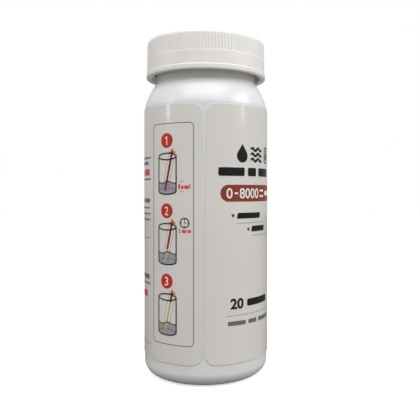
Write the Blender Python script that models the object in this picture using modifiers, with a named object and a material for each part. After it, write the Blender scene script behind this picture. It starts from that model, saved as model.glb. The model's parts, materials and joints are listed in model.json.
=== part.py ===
"""Water test kit: a round screw-cap bottle of twenty dip-and-read test strips.

Units are metres, +Z is up, and the origin is the centre of the bottle's standing ring.
The title panel of the label faces -Y, and the label's seam lies 44 degrees to its left.
The bottle, its cap, the cap's liner, the label, the strips and the desiccant sachet are
separate closed solids with a small clearance between neighbours.
"""

import math

import bmesh
import bpy

MM = 0.001
CLEARANCE = 0.3 * MM

# Bottle
BODY_RADIUS = 19.85 * MM
LABEL_RECESS = 0.3 * MM
WALL = 1.4 * MM
HEEL_WIDTH = 5.0 * MM
HEEL_HEIGHT = 4.2 * MM
INNER_HEEL_INSET = 0.8 * MM
RING_INNER_RADIUS = 12.5 * MM
PUSH_UP = 1.4 * MM
PUSH_UP_SLOPE = 2.5 * MM
FLOOR_THICKNESS = 1.4 * MM

# Shoulder: a quarter of a superellipse that the neck cuts off before it closes in
SHOULDER_START_Z = 83.7 * MM
SHOULDER_RISE = 11.9 * MM
SHOULDER_DEPTH = 8.02 * MM
SHOULDER_POWER = 1.4
SHOULDER_STEPS = 7
SHOULDER_WALL_IN = 1.55 * MM
SHOULDER_WALL_DOWN = 0.9 * MM

# Neck
NECK_RADIUS = 15.8 * MM
BORE_RADIUS = 14.0 * MM
BORE_START_Z = 91.3 * MM
NECK_RIM_Z = 101.8 * MM
NECK_EDGE = 0.5 * MM

# Label
LABEL_BOTTOM_Z = 6.85 * MM
LABEL_TOP_Z = 83.3 * MM
LABEL_THICKNESS = 0.12 * MM
LABEL_RADIUS = BODY_RADIUS - 0.03 * MM
LABEL_CORNER = 3.3 * MM
SEAM_WIDTH = 0.8 * MM
SEAM_ANGLE = math.radians(-134.1)

# Thread, the same right-hand helix on the neck and in the cap
PITCH = 4.0 * MM
THREAD_TURNS = 1.25
RIDGE_RADIUS = 1.0 * MM
NECK_THREAD_Z = 95.7 * MM
NECK_THREAD_CENTRE = NECK_RADIUS + 0.1 * MM

# Cap
CAP_BOTTOM_Z = 93.5 * MM
CAP_TOP_Z = 105.2 * MM
CAP_RIM_RADIUS = 19.15 * MM
CAP_SKIRT_RADIUS = 18.95 * MM
CAP_CORE_RADIUS = 18.6 * MM
CAP_TAPER = 0.992
CAP_BORE_RADIUS = 17.4 * MM
CAP_BORE_CHAMFER = 0.3 * MM
CAP_PLATE = 1.6 * MM
CAP_TOP_EDGE = 1.2 * MM
RIM_HEIGHT = 1.6 * MM
RIM_EDGE = 0.5 * MM
CAP_THREAD_CENTRE = CAP_BORE_RADIUS - 0.1 * MM

# Grip ribs: they stand on the cap's core and end in its smooth skirt
RIB_COUNT = 120
RIB_BOTTOM_Z = 99.1 * MM
RIB_HEIGHT = 0.25 * MM
RIB_LIFT = 0.05 * MM
RIB_OVERLAP = 0.7 * MM
RIB_RUN_OUT = 0.5 * MM

# Liner
LINER_RADIUS = 17.0 * MM
LINER_THICKNESS = 1.2 * MM

# Test strips, stacked face to face and each leaning a little in its own plane
STRIP_COUNT = 20
STRIP_LENGTH = 85.0 * MM
STRIP_WIDTH = 6.5 * MM
BACKING = 0.3 * MM
PAD_THICKNESS = 0.3 * MM
PAD_WIDTH = 4.0 * MM
PAD_LENGTH = 62.0 * MM
PAD_START = 6.0 * MM
STRIP_PITCH = 0.9 * MM
STRIP_FOOT_Z = PUSH_UP + FLOOR_THICKNESS + CLEARANCE + 0.1 * MM
STRIP_SPREAD = 2.6 * MM
STRIP_LEAN = math.radians(2.0)

# Desiccant sachet
SACHET_WIDTH = 22.0 * MM
SACHET_HEIGHT = 34.0 * MM
SACHET_THICKNESS = 4.4 * MM
SACHET_SEAM_THICKNESS = 0.5 * MM
SACHET_CROWN = 0.75
SACHET_Y = 12.0 * MM
SACHET_FOOT_Z = FLOOR_THICKNESS + 1.0 * MM

# Facets around the axis
BODY_STEPS = 60
ARC_STEPS = 4


def clear_scene():
    for obj in list(bpy.data.objects):
        bpy.data.objects.remove(obj, do_unlink=True)


def new_collection(name):
    collection = bpy.data.collections.new(name)
    bpy.context.scene.collection.children.link(collection)
    return collection


def material(name, colour, roughness, subsurface=0.0):
    """A Principled material with one colour and no metal."""
    made = bpy.data.materials.new(name)
    made.use_nodes = True
    shader = made.node_tree.nodes["Principled BSDF"]
    shader.inputs["Base Color"].default_value = (*colour, 1.0)
    shader.inputs["Roughness"].default_value = roughness
    shader.inputs["Metallic"].default_value = 0.0
    shader.inputs["Subsurface Weight"].default_value = subsurface
    made.diffuse_color = (*colour, 1.0)
    return made


def link(obj, collection, finish=None):
    collection.objects.link(obj)
    if finish:
        obj.data.materials.append(finish)
    return obj


def arc(centre_r, centre_z, radius, start, end, steps=ARC_STEPS):
    """Points of a profile arc, with angles in degrees from +X towards +Z."""
    points = []
    for k in range(steps + 1):
        angle = math.radians(start + (end - start) * k / steps)
        points.append((centre_r + radius * math.cos(angle), centre_z + radius * math.sin(angle)))
    return points


def settled(obj):
    """Replaces the object's mesh or curve by its evaluated mesh, with the modifiers applied."""
    bpy.context.view_layer.update()
    graph = bpy.context.evaluated_depsgraph_get()
    mesh = bpy.data.meshes.new_from_object(obj.evaluated_get(graph))
    mesh.name = obj.name
    made = bpy.data.objects.new(obj.name + "_settled", mesh)
    made.matrix_world = obj.matrix_world.copy()
    for collection in obj.users_collection:
        collection.objects.link(made)
    name = obj.name
    bpy.data.objects.remove(obj, do_unlink=True)
    made.name = name
    return made


def weld(obj, within=0.001 * MM):
    work = bmesh.new()
    work.from_mesh(obj.data)
    bmesh.ops.remove_doubles(work, verts=work.verts, dist=within)
    bmesh.ops.recalc_face_normals(work, faces=work.faces)
    work.to_mesh(obj.data)
    work.free()
    return obj


def smooth(obj, sharp_degrees=35.0):
    obj.data.shade_smooth()
    obj.data.set_sharp_from_angle(angle=math.radians(sharp_degrees))
    return obj


def turned(name, profile, collection, finish=None):
    """A solid of revolution about Z. The profile runs down its outer side."""
    mesh = bpy.data.meshes.new(name)
    edges = [(k, k + 1) for k in range(len(profile) - 1)]
    mesh.from_pydata([(r, 0.0, z) for r, z in profile], edges, [])
    obj = link(bpy.data.objects.new(name, mesh), collection, finish)
    screw = obj.modifiers.new("turn", "SCREW")
    screw.axis = "Z"
    screw.angle = math.tau
    screw.steps = BODY_STEPS
    screw.render_steps = BODY_STEPS
    screw.use_merge_vertices = True
    screw.merge_threshold = 0.005 * MM
    return settled(obj)


def unite(obj, other):
    """Joins the other solid to this one with an exact Boolean and removes the other."""
    join = obj.modifiers.new("join", "BOOLEAN")
    join.operation = "UNION"
    join.solver = "EXACT"
    join.object = other
    made = settled(obj)
    bpy.data.objects.remove(other, do_unlink=True)
    return made


def helical_ridge(name, centre_radius, start_z, collection):
    """A round thread ridge of THREAD_TURNS turns whose two ends run out into the wall."""
    per_turn = 24
    count = int(per_turn * THREAD_TURNS) + 1
    run_out = 4
    curve = bpy.data.curves.new(name, "CURVE")
    curve.dimensions = "3D"
    curve.bevel_depth = RIDGE_RADIUS
    curve.bevel_resolution = 2
    curve.use_fill_caps = True
    curve.twist_mode = "Z_UP"
    spline = curve.splines.new("POLY")
    spline.points.add(count - 1)
    for k, point in enumerate(spline.points):
        angle = math.tau * k / per_turn
        height = start_z + PITCH * angle / math.tau
        point.co = (centre_radius * math.cos(angle), centre_radius * math.sin(angle), height, 1.0)
        from_end = min(k, count - 1 - k)
        point.radius = min(1.0, 0.35 + 0.65 * from_end / run_out)
    ridge = link(bpy.data.objects.new(name, curve), collection)
    return weld(settled(ridge))


def shoulder_points():
    """The outside of the shoulder, from the body up to the foot of the neck."""
    power = 2.0 / SHOULDER_POWER
    narrow = BODY_RADIUS - SHOULDER_DEPTH
    cut = math.acos(((NECK_RADIUS - narrow) / SHOULDER_DEPTH) ** (1.0 / power))
    points = []
    for k in range(SHOULDER_STEPS + 1):
        angle = cut * k / SHOULDER_STEPS
        r = narrow + SHOULDER_DEPTH * math.cos(angle) ** power
        points.append((r, SHOULDER_START_Z + SHOULDER_RISE * math.sin(angle) ** power))
    return points


def heel(outer_radius, base_z, width, height):
    """A quarter of an ellipse from the outer wall down to the base."""
    quarter = arc(0.0, 0.0, 1.0, 0, -90)
    centre_r = outer_radius - width
    return [(centre_r + width * x, base_z + height * (1.0 + z)) for x, z in quarter]


def bottle_profile():
    """From the inside floor's centre, up the inner wall, over the rim, down outside, to the base."""
    inner_radius = BODY_RADIUS - WALL
    inner_heel_width = HEEL_WIDTH - INNER_HEEL_INSET
    inner_heel_height = HEEL_HEIGHT - INNER_HEEL_INSET
    recess_radius = BODY_RADIUS - LABEL_RECESS
    recess_bottom = LABEL_BOTTOM_Z - CLEARANCE
    recess_top = LABEL_TOP_Z + CLEARANCE
    shoulder = shoulder_points()
    inner_shoulder = [(r - SHOULDER_WALL_IN, z - SHOULDER_WALL_DOWN) for r, z in shoulder[1:-1]]

    points = [(0.0, PUSH_UP + FLOOR_THICKNESS)]
    points.append((RING_INNER_RADIUS - PUSH_UP_SLOPE, PUSH_UP + FLOOR_THICKNESS))
    points.append((RING_INNER_RADIUS, FLOOR_THICKNESS))
    points += reversed(heel(inner_radius, FLOOR_THICKNESS, inner_heel_width, inner_heel_height))
    points.append((inner_radius, SHOULDER_START_Z - SHOULDER_WALL_DOWN))
    points += inner_shoulder
    points.append((BORE_RADIUS, BORE_START_Z))
    points += arc(BORE_RADIUS + NECK_EDGE, NECK_RIM_Z - NECK_EDGE, NECK_EDGE, 180, 90, 2)
    points += arc(NECK_RADIUS - NECK_EDGE, NECK_RIM_Z - NECK_EDGE, NECK_EDGE, 90, 0, 2)
    points += reversed(shoulder)
    points += [(recess_radius, recess_top), (recess_radius, recess_bottom)]
    points.append((BODY_RADIUS, recess_bottom - 0.5 * CLEARANCE))
    points += heel(BODY_RADIUS, 0.0, HEEL_WIDTH, HEEL_HEIGHT)
    points.append((RING_INNER_RADIUS, 0.0))
    points.append((RING_INNER_RADIUS - PUSH_UP_SLOPE, PUSH_UP))
    points.append((0.0, PUSH_UP))
    return points


def make_bottle(collection, finish):
    bottle = turned("bottle", bottle_profile(), collection, finish)
    ridge = helical_ridge("neck_thread", NECK_THREAD_CENTRE, NECK_THREAD_Z, collection)
    return smooth(unite(bottle, ridge))


def label_columns():
    """(distance along the label, half height) of each column, closely spaced at rounded ends."""
    length = math.tau * LABEL_RADIUS - SEAM_WIDTH
    half = 0.5 * (LABEL_TOP_Z - LABEL_BOTTOM_Z)
    corner_steps = 5
    corner = []
    for k in range(corner_steps + 1):
        angle = 0.5 * math.pi * k / corner_steps
        along = LABEL_CORNER * (1.0 - math.cos(angle))
        corner.append((along, half - LABEL_CORNER * (1.0 - math.sin(angle))))
    middle_steps = BODY_STEPS
    span = length - 2.0 * LABEL_CORNER
    middle = [(LABEL_CORNER + span * k / middle_steps, half) for k in range(1, middle_steps)]
    return corner + middle + [(length - along, height) for along, height in reversed(corner)]


def make_label(collection, finish):
    """A thin film bent round the bottle from one side of the seam to the other."""
    columns = label_columns()
    middle_z = 0.5 * (LABEL_TOP_Z + LABEL_BOTTOM_Z)
    start = SEAM_ANGLE + 0.5 * SEAM_WIDTH / LABEL_RADIUS
    work = bmesh.new()
    bmesh.ops.create_grid(work, x_segments=len(columns) - 1, y_segments=1, size=0.5)
    for vertex in work.verts:
        column = round((vertex.co.x + 0.5) * (len(columns) - 1))
        along, half = columns[column]
        angle = start + along / LABEL_RADIUS
        height = middle_z + math.copysign(half, vertex.co.y)
        vertex.co = (LABEL_RADIUS * math.cos(angle), LABEL_RADIUS * math.sin(angle), height)
    bmesh.ops.recalc_face_normals(work, faces=work.faces)
    mesh = bpy.data.meshes.new("label")
    work.to_mesh(mesh)
    work.free()
    label = link(bpy.data.objects.new("label", mesh), collection, finish)
    outward = sum(face.normal.dot(face.center) for face in mesh.polygons) > 0.0
    film = label.modifiers.new("film", "SOLIDIFY")
    film.thickness = LABEL_THICKNESS
    film.offset = -1.0 if outward else 1.0
    return smooth(weld(settled(label)))


def cap_profile():
    """From the centre of the top, over the edge, down outside, round the rim and up inside."""
    underside = CAP_TOP_Z - CAP_PLATE
    edge_r = CAP_TAPER * CAP_CORE_RADIUS - CAP_TOP_EDGE
    rim_top = CAP_BOTTOM_Z + RIM_HEIGHT
    rim_centre = CAP_RIM_RADIUS - RIM_EDGE
    rim_start = math.degrees(math.acos((CAP_SKIRT_RADIUS - rim_centre) / RIM_EDGE))
    points = [(0.0, CAP_TOP_Z)]
    points += arc(edge_r, CAP_TOP_Z - CAP_TOP_EDGE, CAP_TOP_EDGE, 90, 0)
    points.append((CAP_CORE_RADIUS, RIB_BOTTOM_Z))
    points.append((CAP_SKIRT_RADIUS, RIB_BOTTOM_Z - RIB_RUN_OUT))
    points += arc(rim_centre, rim_top - RIM_EDGE, RIM_EDGE, rim_start, 0, 2)
    points += arc(rim_centre, CAP_BOTTOM_Z + RIM_EDGE, RIM_EDGE, 0, -90, 2)
    points.append((CAP_BORE_RADIUS + CAP_BORE_CHAMFER, CAP_BOTTOM_Z))
    points.append((CAP_BORE_RADIUS, CAP_BOTTOM_Z + CAP_BORE_CHAMFER))
    points.append((CAP_BORE_RADIUS, underside))
    points.append((0.0, underside))
    return points


def add_ring(curve, count, radii):
    """A closed outline round the axis whose points take the given radii in turn."""
    spline = curve.splines.new("POLY")
    spline.points.add(count - 1)
    for k, point in enumerate(spline.points):
        angle = math.tau * k / count
        r = radii[k % len(radii)]
        point.co = (r * math.cos(angle), r * math.sin(angle), 0.0, 1.0)
    spline.use_cyclic_u = True


def rib_band(collection):
    """The ring of fine grip ribs as a flat outline with a hole, extruded and slightly tapered."""
    low = RIB_BOTTOM_Z - RIB_RUN_OUT
    high = CAP_TOP_Z - 0.7 * CAP_TOP_EDGE
    curve = bpy.data.curves.new("ribs", "CURVE")
    curve.dimensions = "2D"
    curve.fill_mode = "BOTH"
    curve.extrude = 0.5 * (high - low)
    valley = CAP_CORE_RADIUS + RIB_LIFT
    add_ring(curve, 2 * RIB_COUNT, (valley + RIB_HEIGHT, valley))
    add_ring(curve, BODY_STEPS, (CAP_CORE_RADIUS - RIB_OVERLAP,))
    band = link(bpy.data.objects.new("ribs", curve), collection)
    band.location.z = 0.5 * (high + low)
    band = weld(settled(band))
    for vertex in band.data.vertices:
        if vertex.co.z > 0.0:
            vertex.co.x *= CAP_TAPER
            vertex.co.y *= CAP_TAPER
    return band


def make_cap(collection, finish):
    cap = turned("cap", cap_profile(), collection, finish)
    cap = unite(cap, rib_band(collection))
    # Half a pitch below the neck's ridge on the same helix, and started a quarter turn further on
    ridge_z = NECK_THREAD_Z - 0.5 * PITCH
    ridge = helical_ridge("cap_thread", CAP_THREAD_CENTRE, ridge_z + 0.25 * PITCH, collection)
    ridge.rotation_euler.z = 0.25 * math.tau
    return smooth(unite(cap, ridge))


def make_liner(collection, finish):
    top = CAP_TOP_Z - CAP_PLATE - CLEARANCE
    bottom = top - LINER_THICKNESS
    profile = [(0.0, top), (LINER_RADIUS, top), (LINER_RADIUS, bottom), (0.0, bottom)]
    return smooth(turned("cap_liner", profile, collection, finish))


def box(name, low, high, collection, finish=None):
    """A block between two corners."""
    mesh = bpy.data.meshes.new(name)
    work = bmesh.new()
    bmesh.ops.create_cube(work, size=1.0)
    for vertex in work.verts:
        for axis in range(3):
            middle = 0.5 * (low[axis] + high[axis])
            vertex.co[axis] = middle + vertex.co[axis] * (high[axis] - low[axis])
    work.to_mesh(mesh)
    work.free()
    return link(bpy.data.objects.new(name, mesh), collection, finish)


def round_long_corners(obj, width):
    """Rounds the corners of a thin strip, leaving its faces flat."""
    work = bmesh.new()
    work.from_mesh(obj.data)
    through = [e for e in work.edges if abs(e.verts[0].co.y - e.verts[1].co.y) > 0.1 * BACKING]
    bmesh.ops.bevel(work, geom=through, offset=width, segments=2, affect="EDGES", profile=0.5)
    work.to_mesh(obj.data)
    work.free()


def strip_mesh(collection, finish):
    """One strip, its foot at the origin: a plastic backing with the reagent column on its face."""
    half = 0.5 * STRIP_WIDTH
    strip = box("strip_blank", (-half, 0.0, 0.0), (half, BACKING, STRIP_LENGTH), collection, finish)
    round_long_corners(strip, 0.6 * MM)
    half_pad = 0.5 * PAD_WIDTH
    pad_low = (-half_pad, -PAD_THICKNESS, PAD_START)
    pad_high = (half_pad, 0.5 * BACKING, PAD_START + PAD_LENGTH)
    strip = unite(strip, box("strip_pad", pad_low, pad_high, collection))
    mesh = strip.data
    bpy.data.objects.remove(strip, do_unlink=True)
    return mesh


def make_strips(collection, finish):
    mesh = strip_mesh(collection, finish)
    for k in range(STRIP_COUNT):
        obj = bpy.data.objects.new(f"test_strip_{k + 1:02d}", mesh)
        lean = STRIP_LEAN * math.sin(1.7 * k + 0.6)
        across = STRIP_SPREAD * math.sin(2.4 * k)
        obj.location.x = across
        obj.location.y = (k - 0.5 * (STRIP_COUNT - 1)) * STRIP_PITCH
        obj.location.z = STRIP_FOOT_Z
        obj.rotation_euler.y = lean
        collection.objects.link(obj)


def make_sachet(collection, finish):
    """A small pillow standing by the wall: a coarse block, thin at its rim, then subdivided."""
    work = bmesh.new()
    bmesh.ops.create_cube(work, size=1.0)
    bmesh.ops.subdivide_edges(work, edges=work.edges, cuts=3, use_grid_fill=True)
    half_w = 0.5 * SACHET_WIDTH
    half_h = 0.5 * SACHET_HEIGHT
    for vertex in work.verts:
        u, side, v = (2.0 * value for value in vertex.co)
        on_rim = max(abs(u), abs(v)) > 0.75
        depth = SACHET_SEAM_THICKNESS if on_rim else SACHET_THICKNESS
        reach_w = half_w if abs(u) > 0.75 else 2.0 * SACHET_CROWN * half_w * abs(u)
        reach_h = half_h if abs(v) > 0.75 else 2.0 * SACHET_CROWN * half_h * abs(v)
        vertex.co = (math.copysign(reach_w, u), 0.5 * depth * side, math.copysign(reach_h, v))
    mesh = bpy.data.meshes.new("desiccant_sachet")
    work.to_mesh(mesh)
    work.free()
    sachet = link(bpy.data.objects.new("desiccant_sachet", mesh), collection, finish)
    soften = sachet.modifiers.new("soften", "SUBSURF")
    soften.levels = 1
    soften.render_levels = 1
    sachet.location = (0.0, SACHET_Y, SACHET_FOOT_Z + half_h)
    return smooth(settled(sachet), 60.0)


def main():
    clear_scene()
    kit = new_collection("water_test_kit")
    white = material("white_moulded_plastic", (0.82, 0.81, 0.79), 0.3, 0.1)
    cap_white = material("cap_plastic", (0.80, 0.79, 0.77), 0.38, 0.1)
    film = material("label_film", (0.78, 0.77, 0.75), 0.35)
    foam = material("liner_foam", (0.86, 0.86, 0.84), 0.75)
    strip = material("strip_laminate", (0.90, 0.88, 0.82), 0.5)
    paper = material("sachet_paper", (0.88, 0.87, 0.84), 0.8)
    make_bottle(kit, white)
    make_label(kit, film)
    make_cap(kit, cap_white)
    make_liner(kit, foam)
    make_strips(kit, strip)
    make_sachet(kit, paper)


main()
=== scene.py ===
"""Looks of the water test kit: a white ribbed-cap bottle of dip strips with a wrap-around label."""

import json
import math
import random

import bmesh
import bpy
from mathutils import Matrix, Vector, noise


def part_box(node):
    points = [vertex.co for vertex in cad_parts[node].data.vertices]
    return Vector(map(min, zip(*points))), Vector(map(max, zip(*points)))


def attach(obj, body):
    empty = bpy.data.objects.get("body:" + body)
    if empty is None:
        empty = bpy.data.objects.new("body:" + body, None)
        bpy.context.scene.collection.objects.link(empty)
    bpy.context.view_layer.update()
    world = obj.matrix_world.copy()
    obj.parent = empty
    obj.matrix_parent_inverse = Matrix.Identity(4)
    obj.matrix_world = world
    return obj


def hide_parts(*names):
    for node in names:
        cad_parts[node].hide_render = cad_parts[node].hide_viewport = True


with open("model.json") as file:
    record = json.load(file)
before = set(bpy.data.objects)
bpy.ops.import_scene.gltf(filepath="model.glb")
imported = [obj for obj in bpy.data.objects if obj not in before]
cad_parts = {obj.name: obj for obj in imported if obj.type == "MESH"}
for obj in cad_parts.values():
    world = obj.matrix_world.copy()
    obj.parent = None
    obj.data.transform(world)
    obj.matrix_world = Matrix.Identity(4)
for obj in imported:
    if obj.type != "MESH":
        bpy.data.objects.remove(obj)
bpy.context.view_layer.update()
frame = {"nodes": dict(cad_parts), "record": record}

MM = 0.001
WHITE = (1.0, 1.0, 1.0, 1.0)
RECORD = frame["record"]
JOINTS = {joint["name"]: joint for joint in RECORD["behaviour"]["joints"]}

# Sizes that the frame gives
_, BOTTLE_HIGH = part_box("bottle")
LABEL_LOW, LABEL_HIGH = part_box("label")
CAP_LOW, CAP_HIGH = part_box("cap")
LINER_LOW, LINER_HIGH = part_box("cap_liner")
SACHET_LOW, SACHET_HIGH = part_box("desiccant_sachet")
BODY_RADIUS = 19.85 * MM
NECK_RIM_Z = BOTTLE_HIGH.z
LABEL_BOTTOM_Z = LABEL_LOW.z
LABEL_TOP_Z = LABEL_HIGH.z
CAP_BOTTOM_Z = CAP_LOW.z
CAP_TOP_Z = CAP_HIGH.z

# Bottle
SHELL_RADIUS = BODY_RADIUS - 0.21 * MM
WALL = 1.3 * MM
HEEL_WIDTH = 5.0 * MM
HEEL_HEIGHT = 4.2 * MM
INNER_HEEL_INSET = 0.8 * MM
RING_INNER_RADIUS = 12.5 * MM
PUSH_UP = 1.4 * MM
FLOOR_THICKNESS = 1.4 * MM
SHOULDER_START_Z = 83.7 * MM
SHOULDER_RISE = 11.9 * MM
SHOULDER_NARROW = 11.83 * MM
SHOULDER_POWER = 1.4
SHOULDER_STEPS = 24
SHOULDER_WALL_IN = 1.55 * MM
SHOULDER_WALL_DOWN = 0.9 * MM
NECK_RADIUS = 15.8 * MM
BORE_RADIUS = 14.0 * MM
BORE_START_Z = 91.3 * MM
NECK_EDGE = 0.5 * MM
THREAD_PITCH = 4.0 * MM
THREAD_TURNS = 1.25
NECK_THREAD_Z = 95.7 * MM
MOULD_LINE_ANGLES = (math.radians(-20.0), math.radians(160.0))

# Label, with distances along it measured from the middle of the side that faces -Y
LABEL_RADIUS = BODY_RADIUS - 0.02 * MM
LABEL_THICKNESS = 0.18 * MM
LABEL_EDGE = 0.12 * MM
LABEL_CORNER = 3.3 * MM
SEAM_WIDTH = 0.55 * MM
SEAM_WIDER_AT_TOP = 0.75 * MM
SEAM_ANGLE = math.radians(-134.1)
FRONT_ANGLE = math.radians(-90.0)
INK_THICKNESS = 0.006 * MM
INK_STEP = 0.012 * MM
INK_CELL = 0.8 * MM
PRINT_RISE = 0.5 * MM
STEP_PITCH = 20.75

# Cap
CAP_RIM_RADIUS = 19.15 * MM
CAP_SKIRT_RADIUS = 18.95 * MM
CAP_TAPER = 0.992
CAP_BORE_RADIUS = 17.4 * MM
CAP_PLATE = 1.6 * MM
CAP_TOP_EDGE = 1.2 * MM
RIM_HEIGHT = 1.6 * MM
RIM_UPPER_EDGE = 0.35 * MM
RIM_LOWER_EDGE = 0.25 * MM
RIB_COUNT = 120
RIB_BOTTOM_Z = 99.1 * MM
RIB_DEPTH = 0.12 * MM
RIB_RUN_OUT = 0.5 * MM

# Test strips: a backing, a card on it, and the card's printed column, signal line and scale
STRIP_LENGTH = 85.0 * MM
STRIP_WIDTH = 6.5 * MM
STRIP_BACKING = 0.3 * MM
STRIP_CORNER = 0.6 * MM
CARD_LOW = 6.0 * MM
CARD_HIGH = 68.0 * MM
CARD_HALF = 2.0 * MM
CARD_FACE = -0.26 * MM
CARD_CORNER = 0.25 * MM
COLUMN_HALF = 0.75 * MM
SCALE_MARKS = 25
SCALE_PITCH = 2.0 * MM

# Camera: level, a little right of the bottle's axis
CAMERA_ANGLE = math.radians(-135.0)
CAMERA_DISTANCE = 180.0 * MM
CAMERA_SIDE_STEP = 9.08 * MM
CAMERA_HEIGHT = 57.6 * MM
CAMERA_LENS = 47.43
CAMERA_SHIFT = (-0.0571, -0.0448)

# World light, as a share of white, by the sine of the direction's height
WORLD_LIGHT = ((-1.0, (0.20, 0.192, 0.18)), (-0.15, (0.47, 0.456, 0.43)), (0.5, (0.60, 0.60, 0.605)))

# Lights: azimuth from the camera's side to its right and elevation in degrees, distance, width and
# height in metres, and radiance as a share of a white wall in full light
LIGHTS = {
    "overhead": (-4.0, 62.0, 1.6, 1.8, 1.2, 2.95),
    "side_right": (72.5, 24.0, 0.7, 0.09, 0.37, 2.4),
    "side_left": (-68.5, 24.0, 0.7, 0.09, 0.37, 3.6),
    "right_fill": (78.0, 32.0, 1.3, 0.8, 0.5, 4.0),
}

# Floor
FLOOR_RADIUS = 1200.0 * MM
FLOOR_DEPTH = 20.0 * MM
FLOOR_GLOW = 0.6
FLOOR_BOUNCE = (0.23, 0.218, 0.197)


# --- materials


def set_inputs(node, **values):
    """Sets a node's inputs by name, with each space in a name written as an underscore."""
    for name, value in values.items():
        node.inputs[name.replace("_", " ")].default_value = value


class Paint:
    """A Principled material, with the nodes that feed its shader."""

    def __init__(self, name, colour, roughness):
        self.made = bpy.data.materials.new(name)
        self.made.use_nodes = True
        self.made.diffuse_color = (*colour, 1.0)
        self.tree = self.made.node_tree
        self.shader = self.tree.nodes["Principled BSDF"]
        self.coordinates = self.tree.nodes.new("ShaderNodeTexCoord").outputs["Object"]
        self.set(Base_Color=(*colour, 1.0), Roughness=roughness)

    def set(self, **values):
        set_inputs(self.shader, **values)

    def add(self, kind, **values):
        node = self.tree.nodes.new("ShaderNode" + kind)
        set_inputs(node, **values)
        return node

    def link(self, output, node, name):
        self.tree.links.new(output, node.inputs[name])

    def noise(self, scale, detail=3.0, roughness=0.55):
        """The value of a noise over the piece's own coordinates."""
        texture = self.add("TexNoise", Scale=scale, Detail=detail, Roughness=roughness)
        self.link(self.coordinates, texture, "Vector")
        return texture.outputs["Fac"]

    def mottle(self, value, dark, light, low=0.3, high=0.7):
        """Colour that drifts between two close tones with a value."""
        ramp = self.add("ValToRGB")
        for element, position, tone in zip(ramp.color_ramp.elements, (low, high), (dark, light)):
            element.position = position
            element.color = (*tone, 1.0)
        self.link(value, ramp, "Fac")
        self.link(ramp.outputs["Color"], self.shader, "Base Color")

    def vary_roughness(self, value, low, high):
        spread = self.add("MapRange", To_Min=low, To_Max=high)
        self.link(value, spread, "Value")
        self.link(spread.outputs["Result"], self.shader, "Roughness")

    def bump(self, *layers):
        """Chained bumps, each (value, strength, distance)."""
        previous = None
        for value, strength, distance in layers:
            node = self.add("Bump", Strength=strength, Distance=distance)
            self.link(value, node, "Height")
            if previous:
                self.link(previous.outputs["Normal"], node, "Normal")
            previous = node
        self.link(previous.outputs["Normal"], self.shader, "Normal")


def moulded_plastic(name, dark, light, roughness, grain, translucency):
    """White polyolefin: a slow ripple from the mould, a fine skin and a little depth of light."""
    paint = Paint(name, light, roughness)
    slow = paint.noise(55.0, 2.0)
    fine = paint.noise(grain, 3.0, 0.5)
    paint.mottle(slow, dark, light)
    paint.vary_roughness(fine, roughness - 0.04, roughness + 0.05)
    paint.bump((slow, 0.2, 0.2 * MM), (fine, 0.10, 0.01 * MM))
    paint.set(Subsurface_Weight=translucency, Subsurface_Radius=(1.0, 0.95, 0.85))
    paint.set(Subsurface_Scale=0.8 * MM, IOR=1.5)
    return paint.made


def label_material():
    """Glossy laminated film: slight waves where it is glued, over a satin print stock."""
    dark, light = (0.69, 0.675, 0.655), (0.715, 0.70, 0.68)
    paint = Paint("label_film", (0.74, 0.725, 0.70), 0.34)
    slow = paint.noise(38.0, 2.0)
    paint.mottle(slow, dark, light)
    paint.vary_roughness(paint.noise(5200.0), 0.30, 0.40)
    paint.bump((slow, 0.2, 0.2 * MM))
    paint.set(Coat_Weight=1.0, Coat_Roughness=0.07)
    return paint.made


def ink_material(name, colour, roughness=0.36):
    """Printed ink: its colour breaks up a little over the film's tooth."""
    paint = Paint(name, colour, roughness)
    tooth = paint.noise(2600.0, 4.0)
    dark = tuple(0.88 * part for part in colour)
    light = tuple(min(1.0, 1.08 * part + 0.006) for part in colour)
    paint.mottle(tooth, dark, light, 0.25, 0.75)
    paint.vary_roughness(tooth, roughness - 0.05, roughness + 0.06)
    paint.set(Specular_IOR_Level=0.1)
    return paint.made


def foam_material():
    """Closed-cell liner foam with fine open pores on its skin."""
    paint = Paint("liner_foam", (0.86, 0.86, 0.83), 0.7)
    cells = paint.add("TexVoronoi", Scale=2600.0)
    paint.link(paint.coordinates, cells, "Vector")
    paint.mottle(paint.noise(240.0), (0.80, 0.80, 0.77), (0.88, 0.88, 0.85))
    paint.bump((cells.outputs["Distance"], 0.5, 0.06 * MM))
    return paint.made


def fibre_material(name, dark, light, roughness, scale):
    """Uncoated paper: crossing fibres that shift its tone and relief."""
    paint = Paint(name, light, roughness)
    stretch = paint.add("Mapping", Scale=(1.0, 1.0, 0.35))
    paint.link(paint.coordinates, stretch, "Vector")
    fibres = paint.add("TexNoise", Scale=scale, Detail=6.0, Roughness=0.65)
    paint.link(stretch.outputs["Vector"], fibres, "Vector")
    value = fibres.outputs["Fac"]
    paint.mottle(value, dark, light)
    paint.vary_roughness(value, roughness - 0.08, roughness + 0.06)
    paint.bump((value, 0.35, 0.05 * MM))
    return paint.made


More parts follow.
